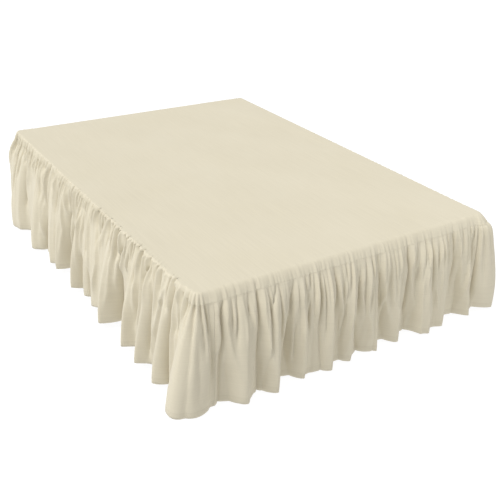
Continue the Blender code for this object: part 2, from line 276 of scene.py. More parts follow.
def turnedWood():
    # brown wood, with growth rings drawn out along the leg and fine pores
    finish = Finish("turnedWood", legWood["roughness"])
    place = finish.objectPlace()
    drift = finish.noise(place, legWood["drift"], 3.0)
    rings = finish.node("ShaderNodeTexWave", {"bands_direction": "X"}, {
        "Vector": finish.stretch(place, legWood["ringStretch"]), "Scale": legWood["rings"],
        "Distortion": legWood["ringWander"], "Detail": 3.0})
    pores = finish.noise(place, legWood["pores"])
    grain = rings * legWood["ringShare"] + drift * legWood["driftShare"] - legWood["grainCut"]
    grain = grain.clamp()
    tone = finish.mix(grain, legWood["light"], legWood["dark"])
    poreTint = pores.spread(*legWood["poreSpread"]) * legWood["poreTint"]
    finish.feed("Base Color", finish.mix(poreTint, tone, legWood["dark"]))
    finish.feed("Roughness", grain * legWood["roughGrain"] + legWood["smoothest"])
    finish.bump(pores, legWood["relief"], 0.4)
    return finish.material


def plainFinish(name, colour, roughness, grain, darkest=0.8, relief=0.0004, **constants):
    # one colour with a fine fleck, for the felt pads and the leg plates
    finish = Finish(name, roughness, **constants)
    fleck = finish.noise(finish.objectPlace(), (grain, grain, grain), 4.0, 0.6)
    shade = tuple(value * darkest for value in colour[:3]) + (1.0,)
    finish.feed("Base Color", finish.mix(fleck, colour, shade))
    finish.bump(fleck, relief, 0.4)
    return finish.material


# Shared shape helpers

def smooth(t):
    return 0.5 - 0.5 * np.cos(pi * np.clip(t, 0, 1))


def rowsAround(rows, places):
    # the row after each place, and how far on from the row before it the place lies
    stops = np.array([row[0] for row in rows])
    after = np.clip(np.searchsorted(stops, places, side="left"), 1, len(stops) - 1)
    return after, (places - stops[after - 1]) / (stops[after] - stops[after - 1])


def eased(rows, column, places):
    # eases one column of a table from row to row
    after, t = rowsAround(rows, places)
    values = np.array([row[column] for row in rows])
    return values[after - 1] + (values[after] - values[after - 1]) * smooth(t)


def crisp(rows, column, places, crest=2, sharp=0.16):
    # as eased, but a crest stays a narrow ridge while a hollow stays broad
    after, t = rowsAround(rows, places)
    values, heights = (np.array([row[k] for row in rows]) for k in (column, crest))
    falling = heights[after - 1] > heights[after]
    fromCrest = np.where(falling, t, 1 - t)
    bent = (np.sqrt(fromCrest ** 2 + sharp ** 2) - sharp) / (sqrt(1 + sharp ** 2) - sharp)
    bent = np.sin(pi / 2 * np.clip(bent, 0, 1))
    share = np.where(falling, bent, 1 - bent)
    return values[after - 1] + (values[after] - values[after - 1]) * share


def seamPieces():
    # straight runs and corner arcs: start place, length, start point, heading and radius
    wrap, head, corner = bed["headWrap"], bed["headCorner"], bed["footCorner"]
    side, foot = bed["length"] - head - corner, bed["width"] - 2 * corner
    headArc, footArc = head * pi / 2, corner * pi / 2
    lengths = [wrap, headArc, side, footArc, foot, footArc, side, headArc, wrap]
    radii = [0, head, 0, corner, 0, corner, 0, head, 0]
    place = -(footArc / 2 + side + headArc + wrap)
    x, y, heading = -bed["width"] / 2 + head + wrap, bed["length"] / 2, pi
    pieces = []
    for length, radius in zip(lengths, radii):
        pieces.append((place, length, x, y, heading, radius))
        if radius:
            turned = heading + length / radius
            x += radius * (sin(turned) - sin(heading))
            y -= radius * (cos(turned) - cos(heading))
            heading = turned
        else:
            x += length * cos(heading)
            y += length * sin(heading)
        place += length
    return pieces


seam = seamPieces()
seamStart, seamEnd = seam[0][0], seam[-1][0] + seam[-1][1]


def seamAt(places):
    # points on the seam in plan, and the way out of the bed there
    places = np.clip(places, seamStart, seamEnd)
    x, y, outX, outY = (np.zeros_like(places) for _ in range(4))
    slack = 1e-9  # so that no place falls between two pieces
    for start, length, startX, startY, heading, radius in seam:
        here = (places >= start - slack) & (places <= start + length + slack)
        run = places[here] - start
        if radius:
            turned = heading + run / radius
            x[here] = startX + radius * (np.sin(turned) - sin(heading))
            y[here] = startY - radius * (np.cos(turned) - cos(heading))
        else:
            turned = np.full_like(run, heading)
            x[here] = startX + run * cos(heading)
            y[here] = startY + run * sin(heading)
        outX[here], outY[here] = np.sin(turned), -np.cos(turned)
    return x, y, outX, outY


def ripples(along, down, seed, waves, longest, shortest, drop, size):
    # soft uneven waves that run down the cloth
    dice = np.random.default_rng(seed)
    total = np.zeros(np.broadcast(along, down).shape)
    for _ in range(waves):
        wave = shortest * (longest / shortest) ** dice.random()
        lean = dice.uniform(-0.35, 0.35)
        fade = dice.uniform(0.5, 1.5) / drop
        phase, turn = dice.uniform(0, 2 * pi, 2)
        wash = np.cos(down * fade + turn)
        total += wash * np.sin((along + lean * down * wave * 2) * 2 * pi / wave + phase)
    return total * size / np.sqrt(waves)


def gridNormals(points):
    # outward normals of a grid of points
    alongStep, downStep = np.gradient(points, axis=1), np.gradient(points, axis=0)
    normal = np.cross(downStep, alongStep)
    return normal / np.maximum(np.linalg.norm(normal, axis=2, keepdims=True), 1e-9)


def spineOf(rim, half):
    # for each point of a rim, where it comes to on a line along the middle
    return np.stack([rim[:, 0] * 0, np.clip(rim[:, 1], -half, half), rim[:, 2]], -1)


def makeMesh(name, points, faces, thread, edge):
    # a mesh with the cloth's own places, which the weave and the hem's stitches follow
    mesh = bpy.data.meshes.new(name)
    mesh.from_pydata(points.reshape(-1, 3).tolist(), [], faces)
    for key, values in (("thread", thread), ("edge", edge)):
        layer = mesh.attributes.new(key, "FLOAT_VECTOR", "POINT")
        values = np.ascontiguousarray(values, dtype=np.float32)
        layer.data.foreach_set("vector", values.reshape(-1))
    return mesh


def addPiece(mesh, material):
    mesh.shade_smooth()
    mesh.materials.append(material)
    return addObject(mesh.name, mesh)


def gridMesh(name, points, thread, edge, material, closed=False):
    # a sheet from rows of points; closed joins each row's end to its start
    rows, columns = points.shape[:2]
    left = np.arange(columns if closed else columns - 1)
    right = (left + 1) % columns
    upper = np.arange(rows - 1)[:, None] * columns
    lower = upper + columns
    faces = np.stack([upper + left, lower + left, lower + right, upper + right], -1)
    mesh = makeMesh(name, points, faces.reshape(-1, 4).tolist(), thread, edge)
    mesh.validate()
    return addPiece(mesh, material)


def thicken(piece, thickness):
    # the cloth's thickness goes inwards from its outer face
    modifier = piece.modifiers.new("clothThickness", "SOLIDIFY")
    modifier.thickness, modifier.offset = thickness, -1.0
    modifier.use_even_offset = False


def dress(piece, node=None):
    # everything rides on the one body, and some pieces stand for a node
    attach(piece, "root")
    if node:
        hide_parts(node)
    return piece


# The gathered strips

def metres(rows):
    # turns a table in millimetres into metres
    return [tuple(value / 1000 for value in row) for row in rows]


ruffle = {
    "cloth": 0.0011, "fullness": 1.25, "hem": 0.028, "hemLevel": 0.010,
    "columnStep": 0.0027, "rows": 50, "firstRow": 0.0012, "rowPower": 1.25,
    "leftJoin": 0.060, "rightJoin": 1.300,  # where the strips are joined, in hollows
    "tuck": (0.0009, 0.0002),  # the edge turned in at the seam: in, and down
    # the hem turned up inside: the gap to it, how far its edge rounds down, and its ease
    "hemGap": 0.0024, "hemRound": 0.0008, "hemEase": 0.001,
    # how far the cloth stands out between seam and hem, and how the long folds grow down it
    "bulge": 0.003, "bulgePower": 1.2, "swellDepth": 0.050,
    "growth": 1.5, "foldStart": 0.05, "swing": 1.3,
    # the fuller cloth round the right foot corner: place, width, height, start and fade
    "puff": (1.375, 0.062, 0.036, 0.040, 0.22),
    # the long folds, in millimetres: place at the seam, place at the hem, how far the hem
    # stands out there, and how far it is lifted
    "folds": metres([
        # left side
        (-2040, -2040, 20, 4), (-1960, -1965, 60, 0), (-1890, -1890, 55, 2),
        (-1765, -1750, 101, 0), (-1705, -1688, 88, 2), (-1650, -1642, 40, 3),
        (-1590, -1590, 42, 3), (-1450, -1458, 100, 0), (-1355, -1366, 50, 6),
        (-1250, -1256, 78, 8), (-1205, -1207, 50, 12), (-1155, -1170, 84, 18),
        (-1095, -1112, 16, 20), (-1020, -1046, 10, 22), (-960, -966, 88, 22), (-915, -930, 40, 13),
        (-880, -890, 56, 12), (-840, -842, 40, 12), (-780, -798, 60, 9), (-725, -730, 42, 20),
        (-620, -638, 96, 22), (-545, -578, 6, 26), (-505, -512, 2, 26), (-420, -438, 84, 22),
        (-365, -396, 30, 23), (-335, -360, 26, 23), (-280, -317, 84, 20), (-225, -262, 26, 20),
        (-200, -228, 22, 18), (-145, -176, 86, 14), (-85, -112, 22, 10), (-60, -92, 24, 8),
        (-10, -25, 100, -3), (-2, -16, 98, -6),
        # foot
        (60, 50, 24, 0), (92, 84, 28, -3), (150, 168, 80, -1), (235, 216, 46, 0),
        (290, 300, 81, -1), (372, 345, 6, 4), (425, 432, 58, -1), (480, 456, 36, -3),
        (535, 555, 70, -1), (580, 590, 32, 1), (640, 653, 59, -1), (690, 704, 22, -4),
        (745, 790, 57, -1), (788, 826, 5, 4), (870, 908, 51, 0), (938, 955, 4, 7),
        (960, 1002, 8, 0), (992, 1030, 60, 3), (1015, 1062, 70, 2), (1075, 1102, 42, 3),
        (1120, 1150, 57, 2), (1182, 1210, 4, 8), (1205, 1258, 10, 1), (1240, 1316, 54, 1),
        # right side
        (1300, 1340, 26, 20), (1360, 1362, 130, 7), (1392, 1392, 130, 7), (1430, 1426, 80, 3),
        (1510, 1495, 24, 6), (1590, 1600, 68, 0), (1680, 1670, 22, 3), (1745, 1740, 54, 0),
        (1830, 1845, 10, 4), (1940, 1930, 84, 0), (2020, 2030, 26, 2), (2090, 2085, 56, 0),
        (2150, 2160, 30, 2), (2260, 2250, 78, 0), (2340, 2350, 8, 6), (2375, 2390, 6, 6),
        (2450, 2470, 68, 0), (2540, 2535, 26, 2), (2625, 2610, 82, 0), (2700, 2715, 14, 4),
        (2830, 2820, 62, 0), (2940, 2930, 30, 2), (3030, 3045, 76, 0), (3140, 3130, 18, 4),
        (3240, 3240, 80, 0), (3320, 3320, 46, 3), (3375, 3375, 58, 0), (3450, 3450, 20, 4),
    ]),
    # where the deck turns down, in millimetres: place, how far in the turn starts, how far out
    # and how far down the seam hangs, and how far the cloth swells below it
    "turns": metres([
        (-2040, 12, 4, 36, 18), (-1900, 6, 10, 37, 14), (-1300, 4, 11, 30, 4), (-950, 3, 8, 16, 4),
        (-650, 2, 7, 8, 4), (-300, 2, 7, 6, 4), (-100, 4, 7, 10, 4), (0, 14, 6, 40, 4),
        (90, 18, 13, 36, 19), (1100, 18, 14, 38, 21), (1290, 15, 12, 37, 8),
        (1345, 16, 28, 40, -10), (1390, 16, 28, 39, -10), (1460, 15, 14, 34, 0),
        (1580, 14, 4, 29, 9), (3400, 14, 2, 36, 10),
    ]),
    # how much of each crease shows right at the seam, and how soon the rest follows
    "seamShare": (0.60, 0.32), "seamStart": (0.010, 0.050),  # sides, foot
    "footBlend": 0.06, "footEnd": 1.36,
    "sideDepth": 1.5,  # the left side is gathered more tightly
    # how a crease ends, spreads and draws the cloth to itself
    "fadeLeast": 0.10, "fadeMore": 0.35, "begun": 0.5, "ended": 0.6, "atSeam": 0.06, "atHem": 0.99,
    "reach": 6, "spread": 0.9, "creasePower": 1.35, "draw": 0.55, "fullDraw": 0.016,
    "ridgeNarrow": 1.1, "ridgePower": 1.6,
    # sizes of crease: push in (ridges push out), half width
    "sizes": {
        "deep": (0.0175, 0.0095), "crease": (0.0118, 0.0070), "small": (0.0085, 0.0052),
        "soft": (0.0110, 0.0130), "endFold": (0.0120, 0.0044), "endRidge": (-0.0050, 0.0042),
        "cornerFold": (0.0120, 0.0036), "cornerRidge": (-0.0060, 0.0036),
        "ridge": (-0.0092, 0.0078), "fineRidge": (-0.0066, 0.0050),
    },
    # small gathers: start, end, usual spacing, longest run down, push, seed
    "gathers": [
        (-2.035, -1.900, 0.034, 0.60, 0.015, 4), (1.420, 3.43, 0.033, 0.60, 0.015, 9),
        (-1.980, -0.040, 0.020, 0.38, 0.012, 12), (-1.980, -0.060, 0.060, 0.80, 0.007, 31),
        (0.040, 1.415, 0.023, 0.72, 0.0068, 17), (0.090, 1.290, 0.050, 1.15, 0.0105, 37),
        (1.420, 3.43, 0.022, 0.16, 0.006, 23),
    ],
    # how they vary: in run (shortest share, the rest, how rare a long one is), lean, push and
    # width, the ridge beside each, the spacing, and how far they keep from the main creases
    "gatherRun": (0.35, 0.65, 1.5),
    "nearSeam": 0.15, "gatherLean": 0.012, "leanRun": 0.4,
    "gatherPush": (0.6, 1.15), "gatherWidth": (0.0040, 0.0060),
    "ridgePlace": (0.4, 0.6), "ridgePush": (0.5, 0.8), "ridgeWidth": 0.005,
    "spacing": (0.65, 1.4), "clearOfCrease": 0.011, "ridgeClear": 0.008,
    "ripples": {"seed": 21, "waves": 26, "longest": 0.075, "shortest": 0.018, "drop": 0.34,
                "size": 0.0012},
    "rippleStart": 0.03,
}


# the main creases. Each passes through its own points, as pairs of numbers: how far down in
# hundredths of the drop, and the place along the seam in millimetres
creases = {
    "deep": [
        (0, 97, 12, 80, 22, 83, 34, 84, 50, 77, 75, 75, 100, 79),
        (0, 232, 12, 228, 24, 229, 45, 223, 62, 221, 100, 233),
        (3, 570, 14, 573, 22, 575, 40, 565, 55, 568), (4, 779, 18, 782, 32, 786, 55, 794),
        (0, 932, 12, 931, 24, 940, 45, 942, 70, 955, 100, 986),
        (3, 1179, 16, 1184, 30, 1199, 50, 1202, 70, 1209), (55, 669, 75, 690, 100, 722),
        (0, -130, 5, -122, 20, -122, 40, -127, 60, -129, 100, -142),
        (0, -417, 6, -413, 14, -409, 30, -408), (30, -567, 45, -570, 60, -573, 100, -603),
        (0, -1362, 12, -1352, 30, -1359, 55, -1360, 75, -1376, 100, -1402),
        (2, -1694, 15, -1674, 35, -1668, 68, -1668),
    ],
    "crease": [
        (2, 149, 20, 139, 40, 134), (2, 310, 10, 297, 20, 279), (2, 386, 18, 373, 32, 373),
        (38, 392, 55, 391, 80, 394), (36, 360, 50, 363, 70, 364, 100, 391),
        (0, 438, 10, 436, 20, 442), (0, 506, 14, 499, 30, 496, 50, 492, 100, 518),
        (8, 690, 30, 684, 55, 685), (4, 1062, 20, 1058, 45, 1060, 70, 1082),
        (2, 1304, 20, 1295, 40, 1298), (0, -579, 10, -584, 28, -584), (0, -533, 6, -529, 12, -530),
        (14, -542, 30, -559), (0, -502, 8, -503, 22, -513),
        (0, -376, 10, -374, 30, -371, 50, -378, 70, -393), (0, -313, 6, -305, 14, -322, 22, -336),
        (0, -246, 10, -248, 35, -258, 60, -267, 95, -282),
        (10, -1084, 25, -1088, 38, -1106, 60, -1116, 100, -1146),
        (35, -1065, 62, -1082, 80, -1108, 100, -1132), (0, -947, 8, -945, 20, -943),
        (0, -886, 12, -878, 30, -873, 50, -876), (0, -778, 10, -769, 30, -765),
        (0, -735, 8, -733, 24, -745), (0, -679, 10, -672, 20, -654),
        (0, -1639, 8, -1641, 25, -1634), (0, -1440, 7, -1429), (18, -1441, 38, -1426),
        (0, -1148, 6, -1142),
    ],
    "small": [
        (5, 127, 30, 117), (2, 647, 30, 633), (2, 719, 25, 708, 50, 718), (10, 1094, 30, 1084),
        (20, 837, 45, 838), (0, 985, 30, 962), (2, 1233, 20, 1239), (0, -203, 6, -200),
        (0, -62, 8, -58), (0, -37, 10, -29), (0, -848, 6, -843), (55, -929, 100, -946),
        (65, -857, 100, -864), (0, -636, 5, -634), (0, -1232, 38, -1230), (0, -1571, 10, -1578),
        (0, -1516, 7, -1520),
    ],
    "soft": [
        (0, 44, 25, 42, 50, 43, 75, 39), (2, 195, 22, 183), (18, 434, 30, 436, 45, 440),
        (38, 329, 65, 336), (22, 889, 36, 899, 60, 897), (5, 995, 40, 982),
        (50, 589, 80, 603, 100, 620), (45, 805, 80, 833, 100, 862), (60, 232, 100, 256),
        (60, 97, 100, 118), (50, 1230, 100, 1262), (30, -178, 60, -182, 100, -200),
        (20, -59, 40, -83), (0, -1310, 14, -1286), (0, -1843, 10, -1822), (30, -1342, 60, -1339),
    ],
    "ridge": [
        (5, 70, 20, 68, 34, 73, 50, 61, 75, 58, 100, 56),
        (0, 108, 20, 101, 40, 109, 60, 127, 80, 151), (0, 256, 20, 251, 40, 257, 60, 267, 85, 292),
        (20, 335, 40, 339, 65, 351), (10, 588, 30, 592, 50, 608), (8, 706, 35, 700, 60, 715),
        (10, 734, 40, 727, 60, 737, 80, 762), (0, 809, 20, 805, 40, 819, 60, 843, 80, 870),
        (0, 959, 20, 952, 40, 961, 60, 982, 85, 1013),
        (0, 1206, 20, 1219, 40, 1237, 60, 1254, 80, 1277), (10, -520, 30, -549, 42, -560),
        (5, -348, 30, -351, 50, -360, 80, -386), (5, -235, 30, -240, 60, -247, 95, -270),
        (10, -169, 30, -203, 45, -222, 62, -236), (8, -101, 30, -102, 55, -108, 100, -124),
        (8, -859, 50, -843, 70, -851), (25, -753, 50, -751, 80, -776), (15, -1410, 80, -1395),
    ],
    "cornerFold": [
        (2, -2, 30, -1, 55, -3, 100, -6), (0, -19, 14, -21, 30, -22), (0, 15, 20, 18, 45, 19),
        (0, 28, 30, 31), (0, -34, 18, -36), (30, 8, 60, 9, 90, 10),
    ],
    "cornerRidge": [
        (0, -11, 30, -13, 60, -14, 100, -18), (4, 6, 40, 3, 70, 2), (2, 22, 40, 25, 80, 24),
    ],
    "endFold": [
        (0, 1316, 45, 1324, 90, 1330), (0, 1333, 40, 1341, 70, 1346),
        (0, 1351, 60, 1358, 100, 1362), (0, 1369, 34, 1373), (0, 1388, 55, 1388, 85, 1387),
        (0, 1408, 35, 1406),
    ],
    "endRidge": [
        (0, 1325, 50, 1333, 100, 1339), (0, 1342, 45, 1349), (0, 1360, 50, 1365, 90, 1368),
        (0, 1379, 60, 1380), (0, 1398, 50, 1397),
    ],
    "fineRidge": [
        (10, 132, 30, 126), (14, 205, 30, 209), (20, 385, 50, 382, 78, 384), (5, 420, 25, 415),
        (15, 487, 45, 484), (20, 513, 60, 517), (12, 564, 35, 556), (10, 781, 35, 775),
        (20, 929, 60, 932), (10, 1079, 30, 1079, 50, 1085, 80, 1116), (10, 1173, 22, 1187),
        (15, -612, 40, -602, 65, -606, 85, -621), (28, -581, 45, -585, 60, -590),
        (10, -399, 30, -397, 60, -399), (10, -1150, 50, -1134, 95, -1155), (10, -1124, 30, -1113),
        (45, -1089, 65, -1096, 85, -1116), (20, -950, 75, -944), (25, -923, 45, -928, 60, -927),
        (2, -1705, 12, -1693), (15, -1667, 60, -1651), (0, -1545, 10, -1554),
    ],
}


def levelOfSeam(places):
    return bed["top"] - eased(ruffle["turns"], 3, places)


def scatteredCreases(placed):
    # uneven small gathers between the main creases
    taken = np.array([row[2][1] for row in placed if row[2][0] < ruffle["nearSeam"]])
    shortest, more, rarity = ruffle["gatherRun"]
    lean = ruffle["gatherLean"]
    rows = []
    for start, end, pitch, longest, depth, seed in ruffle["gathers"]:
        dice = np.random.default_rng(seed)
        place = start
        while place < end:
            run = longest * (shortest + more * dice.random() ** rarity)
            aside = dice.uniform(-lean, lean) * longest / ruffle["leanRun"]
            push = depth * dice.uniform(*ruffle["gatherPush"])
            width = dice.uniform(*ruffle["gatherWidth"])
            ridge = place + pitch * dice.uniform(*ruffle["ridgePlace"])
            ridgePush = -push * dice.uniform(*ruffle["ridgePush"])
            if np.abs(taken - place).min() > ruffle["clearOfCrease"]:
                rows.append((push, width, (0.0, place), (0.5 * run, place + 0.4 * aside),
                             (run, place + aside)))
            if np.abs(taken - ridge).min() > ruffle["ridgeClear"]:
                rows.append((ridgePush, ruffle["ridgeWidth"], (0.0, ridge), (run, ridge + aside)))
            place += pitch * dice.uniform(*ruffle["spacing"])
    return rows


def placedCreases():
    # the main creases, as push, width and points in shares and metres
    return [(*ruffle["sizes"][size],
             *[(down / 100, place / 1000) for down, place in zip(path[::2], path[1::2])])
            for size, paths in creases.items() for path in paths]


def creaseField(along, down):
    # how far the creases push the cloth out, and how far they draw it to themselves
    out, shift = np.zeros_like(along), np.zeros_like(along)
    placed = placedCreases()
    for push, width, *path in placed + scatteredCreases(placed):
        downs, places = [step[0] for step in path], [step[1] for step in path]
        centre = np.interp(down, downs, places)
        fade = ruffle["fadeLeast"] + ruffle["fadeMore"] * (downs[-1] - downs[0])
        begun = 1.0 if downs[0] < ruffle["atSeam"] else ruffle["begun"]
        rise = smooth((down - downs[0]) / fade + begun)
        fall = 1 - smooth((down - downs[-1]) / fade + ruffle["ended"])
        fall = 1.0 if downs[-1] > ruffle["atHem"] else fall
        strength = rise * fall
        here = (np.abs(along - centre) < ruffle["reach"] * width) & (strength > 0)
        spread = width * (1 + ruffle["spread"] * down[here])
        t = (along[here] - centre[here]) / spread
        if push > 0:
            shape = np.exp(-np.abs(t) ** ruffle["creasePower"])
            pull = ruffle["draw"] * spread * t * np.exp(-np.abs(t) ** ruffle["ridgePower"])
            shift[here] -= pull * strength[here] * min(1, push / ruffle["fullDraw"])
        else:
            shape = np.exp(-np.abs(ruffle["ridgeNarrow"] * t) ** ruffle["ridgePower"])
        out[here] -= push * strength[here] * shape
    blend = ruffle["footBlend"]
    atFoot = smooth(along / blend) * smooth((ruffle["footEnd"] - along) / blend)
    sideShare, footShare = ruffle["seamShare"]
    sideStart, footStart = ruffle["seamStart"]
    share = sideShare + (footShare - sideShare) * atFoot
    soon = sideStart + (footStart - sideStart) * atFoot
    start = share + (1 - share) * (1 - np.exp(-down / soon))
    start = start * (1 + (ruffle["sideDepth"] - 1) * smooth(-along / blend - 0.5))
    return out * start, shift * start


def clothPoints(places, downs):
    # the outer face of the gathered cloth: rows down the drop, columns along the seam
    place, down = np.meshgrid(places, downs)
    folds, turns = ruffle["folds"], ruffle["turns"]
    reach, rise = crisp(folds, 2, place), crisp(folds, 3, place)
    hemPlace = np.interp(place, [row[0] for row in folds], [row[1] for row in folds])
    along = place + (hemPlace - place) * down ** ruffle["swing"]
    creaseOut, shift = creaseField(along, down)
    fold = reach * (1 - (1 - down) ** ruffle["growth"])
    fold *= 1 - np.exp(-down / ruffle["foldStart"])
    top, hem = levelOfSeam(place), ruffle["hemLevel"] + rise
    seamOut, swell = eased(turns, 2, place), eased(turns, 4, place)
    swell *= 1 - np.exp(-down * (top - hem) / ruffle["swellDepth"])
    bulge = (seamOut + swell) * (1 - down ** ruffle["bulgePower"])
    bulge += ruffle["bulge"] * np.sin(pi * down)
    middle, width, height, start, fade = ruffle["puff"]
    puff = height * np.exp(-((place - middle) / width) ** 2) * (1 - np.exp(-down / start))
    puff *= np.exp(-down / fade)
    wash = ripples(along, down, **ruffle["ripples"])
    out = fold + bulge + puff + creaseOut + wash * (1 - np.exp(-down / ruffle["rippleStart"]))
    x, y, outX, outY = seamAt(along + shift)
    return np.stack([x + out * outX, y + out * outY, top + (hem - top) * down], -1)


def stripColumns(start, end):
    return np.linspace(start, end, ceil((end - start) / ruffle["columnStep"]) + 1)


def gatheredStrip(name, node, start, end, material):
    columns = stripColumns(start, end)
    t = np.linspace(0, 1, ruffle["rows"])
    # rows lie closer together at the seam
    downs = np.concatenate([[0, ruffle["firstRow"]], t[1:] ** ruffle["rowPower"]])
    points = clothPoints(columns, downs)
    drop = levelOfSeam(columns).mean()
    _, _, outX, outY = seamAt(columns)
    tuckIn, tuckDown = ruffle["tuck"]
    tuck = points[:1] - np.stack([tuckIn * outX, tuckIn * outY, outX * 0 + tuckDown], -1)
    # the hem, turned up inside
    normal = gridNormals(points)
    fromHem = (1 - downs) * drop
    turned = fromHem < ruffle["hem"] + ruffle["hemEase"]
    inside = (points - normal * ruffle["hemGap"])[turned][::-1]
    edgeRow = points[-1:] - normal[-1:] * (ruffle["hemGap"] / 2)
    edgeRow[..., 2] -= ruffle["hemRound"]
    allPoints = np.concatenate([tuck, points, edgeRow, inside])
    upInside = fromHem[turned][::-1]
    ease = ruffle["hemEase"]
    downList = np.concatenate([[-ease], downs * drop, [drop + ease], drop + upInside])
    edgeList = np.concatenate([[1.0], fromHem, [0.0], upInside])
    across = np.broadcast_to(columns * ruffle["fullness"], allPoints.shape[:2])
    thread = np.stack([across, np.broadcast_to(downList[:, None], across.shape), across * 0], -1)
    edge = np.stack([np.broadcast_to(edgeList[:, None], across.shape), across, across * 0], -1)
    piece = gridMesh(name, allPoints, thread, edge, material)
    thicken(piece, ruffle["cloth"])
    return dress(piece, node)


ivoryCotton = cottonCloth("ivoryCotton")
leftJoin, rightJoin = ruffle["leftJoin"], ruffle["rightJoin"]
leftStrip = gatheredStrip("leftStrip", "ruffle_left", seamStart, leftJoin, ivoryCotton)
footStrip = gatheredStrip("footStrip", "ruffle_foot", leftJoin, rightJoin, ivoryCotton)
rightStrip = gatheredStrip("rightStrip", "ruffle_right", rightJoin, seamEnd, ivoryCotton)
print("gathered strips made")

# The deck cloth

deck = {
    "headStation": 0.0045, "stride": 4, "lattice": 0.024, "weld": 0.0005,
    "rollSteps": 11, "firstStep": 0.02, "rollCurve": 1.9,
    "border": [0.004, 0.009, 0.016, 0.025],  # metres in from the roll
    # then in shares of the way to the middle
    "inner": [0.06, 0.09, 0.12, 0.16, 0.20, 0.25, 0.30, 0.36, 0.42, 0.48, 0.54, 0.61, 0.68,
              0.75, 0.82, 0.89, 0.95, 1.0],
    "headTurn": 0.012, "headDrop": 0.018, "headEase": 0.03,
    # how soon the gathers at the seam die out over the roll, and the small puckers on it
    "gatherFade": 0.034, "gatherPower": 1.4,
    "pucker": {"seed": 5, "waves": 30, "longest": 0.032, "shortest": 0.011, "drop": 0.2,
               "size": 0.0012},
    "puckerStart": 0.006, "puckerReach": 0.040, "puckerPower": 1.5,
    # the cloth isn't dead flat: a wave's height, its turns and start across, and along
    "wave": (0.0012, 7.1, 0.6, 5.3, 1.1), "slantWave": (0.0008, 15, 9),
    "flatEdge": 0.03, "waveStart": 0.08,
}


def ringFaces(first, second, count):
    # four-sided faces between two closed rings of the same count
    return [(first + k, first + (k + 1) % count, second + (k + 1) % count, second + k)
            for k in range(count)]


def deckRim():
    # the deck's outline: the seam, then the plain edge back across the head end
    places = np.concatenate([stripColumns(seamStart, leftJoin),
                             stripColumns(leftJoin, rightJoin)[1:],
                             stripColumns(rightJoin, seamEnd)[1:]])
    x, y, outX, outY = seamAt(places)
    turn, seamOut, drop = (eased(ruffle["turns"], column, places) for column in (1, 2, 3))
    # the gathers push the seam itself about
    push, shift = (row[0] for row in creaseField(places[None, :], np.zeros((1, len(places)))))
    shiftX, shiftY, _, _ = seamAt(places + shift)
    headCount = ceil((x[-1] - x[0]) / deck["headStation"])
    headCount += -(len(places) + headCount - 1) % deck["stride"]
    headX = np.linspace(x[-1], x[0], headCount + 1)[1:-1]
    none = np.zeros_like(headX)
    share = smooth(np.minimum(headX - x[0], x[-1] - headX) / deck["headEase"])
    sewnThenPlain = {
        "around": (places, seamEnd + (x[-1] - headX)),
        "offX": (shiftX - x + push * outX, none), "offY": (shiftY - y + push * outY, none),
        "x": (x, headX), "y": (y, none + bed["length"] / 2),
        "outX": (outX, none), "outY": (outY, none + 1),
        "turn": (turn, turn[-1] + (deck["headTurn"] - turn[-1]) * share),
        "drop": (drop, drop[-1] + (deck["headDrop"] - drop[-1]) * share),
        "seamOut": (seamOut, seamOut[-1] * (1 - share)),
    }
    return {key: np.concatenate(pair) for key, pair in sewnThenPlain.items()}


def deckRings(rim):
    # the sewn edge, the roll over the base's edge and a close border: one row for each ring
    x, y, outX, outY = rim["x"], rim["y"], rim["outX"], rim["outY"]
    turn, drop, seamOut = rim["turn"], rim["drop"], rim["seamOut"]
    rows = []
    steps = deck["rollSteps"]
    shares = [1.0, 1 - deck["firstStep"]] + [1 - step / steps for step in range(1, steps + 1)]
    for share in shares:
        inset = turn - (turn + seamOut) * share
        run = (1 - share) * (turn + seamOut + drop)
        fade = np.exp(-(run / deck["gatherFade"]) ** deck["gatherPower"])
        z = bed["top"] - drop * share ** deck["rollCurve"]
        rows.append(np.stack([x - inset * outX + rim["offX"] * fade,
                              y - inset * outY + rim["offY"] * fade, z], -1))
    tuckIn, tuckDown = ruffle["tuck"]
    rows.insert(0, rows[0] - np.stack([outX * tuckIn, outY * tuckIn, outX * 0 - tuckDown], -1))
    inner = np.stack([x - turn * outX, y - turn * outY, x * 0 + bed["top"]], -1)
    spine = spineOf(inner, (bed["length"] - bed["width"]) / 2)
    reach = np.linalg.norm(spine - inner, axis=1, keepdims=True)
    rows += [inner + (spine - inner) * inward / reach for inward in deck["border"]]
    return np.array(rows), inner, spine


def pucker(fine, around):
    # small puckers where the gathers pull on the sewn edge
    lengths = np.linalg.norm(np.diff(fine, axis=0), axis=2)
    fromSeam = np.concatenate([[around * 0], np.cumsum(lengths, 0)])
    wash = ripples(np.broadcast_to(around, fromSeam.shape), fromSeam, **deck["pucker"])
    near = 1 - np.exp(-(fromSeam / deck["puckerStart"]) ** 2)
    near = near * np.exp(-(fromSeam / deck["puckerReach"]) ** deck["puckerPower"])
    return gridNormals(fine) * (wash * near * (around < seamEnd))[..., None]


